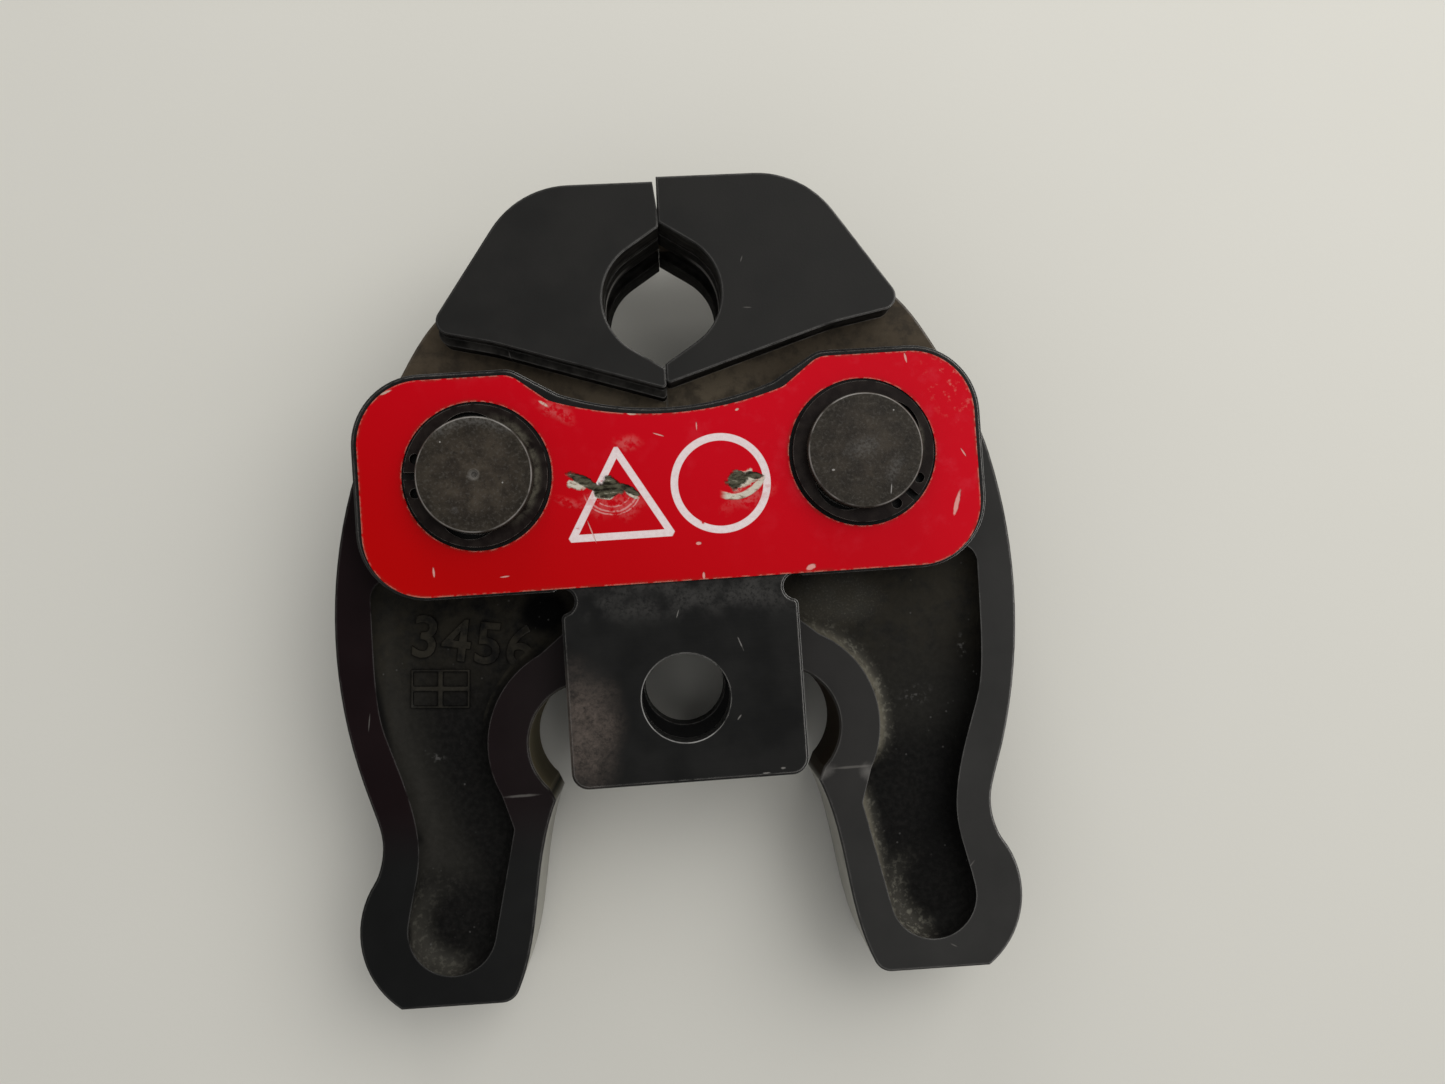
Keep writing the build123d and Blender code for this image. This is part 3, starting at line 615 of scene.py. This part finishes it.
def red_label():
    """Thin red label with a white triangle outline and a white ring, gouged, scratched and frayed."""
    look = Look("red_label", {"Specular IOR Level": 0.06})
    clouds = look.mottle(12.0, 3.0)
    grain = look.mottle(0.6, 4.0, shift=2.0, rough=0.65)
    torn = look.mottle(1.1, 5.0, shift=12.0, rough=0.62)
    smear = look.mottle(4.5, 4.0, shift=21.0, rough=0.6)
    slant = look.x * 0.5 + look.y
    crimson = slant.rise(-6.0, 60.0)
    red = look.tint(crimson, (0.45, 0.0, 0.0, 1.0), (0.60, 0.0, 0.010, 1.0))
    pale = smear.rise(0.52, 0.75) * slant.rise(20.0, 66.0)
    red = look.tint(pale * 0.35, red, (0.64, 0.04, 0.065, 1.0))

    # Printed triangle, from the distances to its three sides, and printed ring
    sides = []
    corners = ((-17.0, 25.4), (0.35, 25.4), (-8.45, 40.4))
    for index, (start_x, start_y) in enumerate(corners):
        end_x, end_y = corners[(index + 1) % 3]
        length = math.hypot(end_x - start_x, end_y - start_y)
        across = ((end_y - start_y) / length, (start_x - end_x) / length)
        sides.append((look.x - start_x) * across[0] + (look.y - start_y) * across[1])
    outside = sides[0].most(sides[1]).most(sides[2])
    triangle = outside.fall(-0.04, 0.04) * outside.rise(-1.18, -1.1)
    blunt = look.near(-8.4, 30.5, 9.3).fall(1.0, 1.02)
    ring = abs(look.near(7.6, 33.2, 1.0) - 7.28).fall(0.54, 0.62)
    rubbed = look.mottle(1.8, 4.0, shift=9.0).rise(0.2, 0.3)
    white = look.tint(grain.rise(0.3, 0.8), (0.84, 0.73, 0.74, 1.0), (0.74, 0.60, 0.61, 1.0))
    colour = look.tint((triangle * blunt).most(ring) * rubbed, red, white)

    # Creases and scuffs round the gouges, pink from scuffing and from painted sheen on the crease bumps, with
    # curved scratches below the middle one
    wobble = (torn - 0.5) + (look.mottle(2.6, 2.0, shift=17.0) - 0.5) * 1.6
    creases_and_sheen = look.spots(
        (
            (-16.6, 31.8, 3.0, 0.7, -20.0),
            (-9.3, 31.2, 4.4, 2.6, -8.0),
            (11.6, 31.0, 4.0, 1.7, 22.0),
            (-6.8, 40.6, 2.4, 1.2),
            (-17.6, 46.2, 3.4, 1.2, -32.0),
        ),
        wobble,
        0.3,
        1.4,
    )
    # Painted sheen on the crease bumps, together with pink scuffs
    colour = look.tint(creases_and_sheen * torn.rise(0.42, 0.6) * 0.5, colour, (0.62, 0.13, 0.13, 1.0))
    round_gouge = look.near(-9.4, 33.6, 4.1, 3.9) + wobble * 0.06
    arcs = abs(round_gouge - 0.98).fall(0.01, 0.05).most(abs(round_gouge - 0.78).fall(0.01, 0.04))
    arcs = arcs.most(abs(round_gouge - 1.1).fall(0.01, 0.04))
    arcs = arcs * look.y.fall(31.5, 33.0) * torn.rise(0.42, 0.58)
    colour = look.tint(arcs * 0.5, colour, (0.80, 0.50, 0.48, 1.0))

    # Beige paper where the label is peeled back, gouges that show the plate, and nicks along the upper edge
    flaps = look.spots(
        (
            (-15.0, 34.3, 1.6, 0.8, -18.0),
            (-10.3, 32.3, 1.6, 0.6, -12.0),
            (11.0, 33.3, 2.3, 1.8, 20.0),
            (-6.4, 32.2, 1.3, 0.4, -30.0),
        ),
        wobble,
        0.7,
        1.0,
    )
    curl = abs(look.near(10.0, 34.6, 4.4, 3.7, 12.0) + wobble * 0.06 - 0.98)
    curl = curl.fall(0.1, 0.16) * (look.y - look.x * 0.3).fall(29.0, 30.2) * look.x.rise(7.2, 8.6)
    flaps = flaps.most(curl)
    folds = look.mottle(1.6, 4.0, stretch=(1.0, 2.4, 1.0), shift=33.0, rough=0.6)
    paper = look.tint(folds.rise(0.3, 0.5), (0.24, 0.15, 0.10, 1.0), (0.62, 0.57, 0.48, 1.0))
    colour = look.tint(flaps, colour, paper)
    gouge = look.spots(
        (
            (-13.4, 34.6, 2.7, 0.7, -27.0),
            (-9.5, 33.5, 2.4, 1.6, -12.0),
            (-7.0, 33.2, 2.0, 0.55, -32.0),
            (10.2, 33.4, 1.8, 1.4, 30.0),
            (13.0, 34.1, 1.7, 0.5, -8.0),
        ),
        wobble,
        0.8,
        1.1,
    )
    bare = look.tint(folds.rise(0.35, 0.6), (0.009, 0.007, 0.004, 1.0), (0.09, 0.085, 0.058, 1.0))
    bare = look.tint(folds.rise(0.62, 0.7) * 0.7, bare, (0.36, 0.34, 0.27, 1.0))
    colour = look.tint(gouge, colour, bare)
    nicks = look.spots(
        (
            (-19.3, 47.4, 1.0, 0.26, -35.0),
            (-5.6, 44.9, 0.8, 0.16, -8.0),
            (0.7, 45.1, 0.5, 0.2),
            (5.2, 45.2, 0.32, 0.24, 60.0),
            (10.9, 44.6, 0.3, 0.18, 20.0),
            (-43.4, 50.6, 1.1, 0.2, 20.0),
        ),
        wobble * 0.8,
        0.6,
        1.1,
    )
    colour = look.tint(nicks * grain.rise(0.3, 0.5) * 0.75, colour, paper)

    # Small scratches and ticks
    scratches = look.spots(
        (
            (-13.0, 26.9, 2.0, 0.12, -72.0),
            (-37.8, 22.1, 0.22, 0.9, 3.0),
            (-26.9, 20.8, 0.8, 0.14, 4.0),
            (44.7, 27.7, 0.42, 2.3, -18.0),
            (38.1, 51.2, 0.2, 0.9, 10.0),
            (3.5, 24.0, 0.5, 0.3),
            (20.9, 19.1, 0.9, 0.5, 20.0),
            (4.0, 18.9, 0.25, 0.7),
            (46.3, 35.6, 0.14, 0.9, 30.0),
            (4.4, 42.4, 0.14, 0.7),
            (-1.6, 41.4, 1.0, 0.14, -20.0),
        ),
        (torn - 0.5) * 0.8,
        0.7,
        1.0,
    )
    colour = look.tint(scratches * 0.75, colour, (0.78, 0.42, 0.38, 1.0))

    # Rubbed top right corner, dirty and frayed edge
    corner = look.near(45.5, 47.5, 5.0, 8.0, 20.0).fall(0.3, 1.2)
    colour = look.tint(corner * torn.rise(0.54, 0.7) * 0.4, colour, (0.70, 0.30, 0.25, 1.0))
    edge = look.edges(0.45).rise(0.02, 0.2)
    frayed = edge * look.mottle(1.0, 4.0, shift=15.0).rise(0.40, 0.6)
    dirt = look.edges(1.0).rise(0.01, 0.25) * look.mottle(3.0, 4.0, shift=16.0).rise(0.35, 0.65)
    colour = look.tint(dirt * 0.6, colour, (0.085, 0.030, 0.016, 1.0))
    colour = look.tint(frayed * 0.65, colour, (0.55, 0.40, 0.30, 1.0))
    roughness = 0.36 + grain * 0.08 + creases_and_sheen * 0.2 + gouge * 0.2
    height = 1.0 - gouge * 0.9 + flaps * torn * 0.6 + creases_and_sheen * torn * 0.35 - scratches * 0.4
    normal = look.relief(height, 0.3, look.relief(clouds, 0.12))
    return look.finish(colour, roughness, normal)


def table_top():
    """Pale, slightly warm table top."""
    look = Look("table_top", {"Specular IOR Level": 0.3})
    colour = look.tint(look.mottle(60.0, 3.0), (0.70, 0.685, 0.635, 1.0), (0.72, 0.705, 0.66, 1.0))
    return look.finish(colour, 0.55 + look.mottle(0.5, 2.0) * 0.1, look.relief(look.mottle(0.8, 2.0), 0.01))


def paint(material, *nodes):
    """Gives CAD nodes their material."""
    for name in nodes:
        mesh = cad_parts[name].data
        mesh.materials.clear()
        mesh.materials.append(material)


# Scene

add_camera()
add_light("window", place=(420.0, 330.0, 620.0), size=700.0, power=3.6, colour=(1.0, 0.99, 0.95))
add_light("far_window", place=(-60.0, 760.0, 130.0), size=320.0, power=1.8, colour=(1.0, 0.99, 0.95))
add_world(strength=0.46, colour=(0.98, 0.985, 0.97, 1.0))
bpy.context.scene.view_settings.view_transform = "Standard"

add_table()

steel = forged_steel()
paint(steel, "jaw_arm_left", "jaw_arm_right")
paint(plate_steel(), "side_plate_front", "side_plate_rear")
paint(pin_steel(), "pivot_pin_left", "pivot_pin_right")
paint(
    ring_steel(),
    "retaining_ring_left_front",
    "retaining_ring_left_rear",
    "retaining_ring_right_front",
    "retaining_ring_right_rear",
)
paint(spring_steel(), "leg_spring")
paint(red_label(), "front_label")


# Raised figures and frame in the recess of the left arm


def settle(piece, name, body, material):
    """Names a finished piece, gives it its material and lets it ride on a body."""
    piece.name = name
    piece.data.materials.clear()
    piece.data.materials.append(material)
    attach(piece, body)


def raised_figures(text, place, size, spacing, turn):
    """Forged figures on the recess floor, soft-edged, as one mesh."""
    bpy.ops.object.text_add(location=(0.0, 0.0, 0.0))
    figures = bpy.context.object
    figures.data.body = text
    figures.data.size = size * MM
    figures.data.space_character = spacing
    figures.data.extrude = FIGURE_HALF_HEIGHT * MM
    figures.data.bevel_depth = FIGURE_ROUNDING * MM
    figures.data.bevel_resolution = 2
    figures.data.resolution_u = 4
    bpy.ops.object.convert(target="MESH")
    return set_down(bpy.context.object, place, turn)


def raised_frame(place, width, height, turn):
    """Forged lattice of four open boxes on the recess floor, below the figures."""
    bpy.ops.mesh.primitive_grid_add(x_subdivisions=2, y_subdivisions=2, size=MM)
    bpy.ops.object.mode_set(mode="EDIT")
    bpy.ops.mesh.select_all(action="SELECT")
    bpy.ops.transform.resize(value=(width, height, 1.0))
    bpy.ops.mesh.inset(thickness=BAR_WIDTH * MM, use_individual=True)
    bpy.ops.mesh.delete(type="FACE")
    bpy.ops.mesh.select_all(action="SELECT")
    bpy.ops.mesh.extrude_region_move(TRANSFORM_OT_translate={"value": (0.0, 0.0, BAR_HEIGHT * MM)})
    bpy.ops.object.mode_set(mode="OBJECT")
    lattice = bpy.context.object
    rounding = lattice.modifiers.new("rounding", "BEVEL")
    rounding.width = BAR_ROUNDING * MM
    rounding.segments = 2
    bpy.ops.object.modifier_apply(modifier="rounding")
    return set_down(lattice, place, turn)


def set_down(piece, place, turn):
    """Puts a piece in its place, turned in degrees, and leaves its origin at the model's."""
    piece.matrix_world = Matrix.Translation(Vector(place) * MM) @ Matrix.Rotation(math.radians(turn), 4, "Z")
    bpy.ops.object.transform_apply(location=True, rotation=True, scale=True)
    return piece


bpy.ops.object.select_all(action="DESELECT")
figures = raised_figures("3456", place=(-44.6, 9.1, 4.5), size=9.6, spacing=1.07, turn=-9.8)
settle(figures, "raised_figures", "left_arm", steel)
bpy.ops.object.select_all(action="DESELECT")
lattice = raised_frame(place=(-39.8, 3.3, 4.45), width=9.6, height=6.4, turn=-4.0)
settle(lattice, "raised_frame", "left_arm", steel)
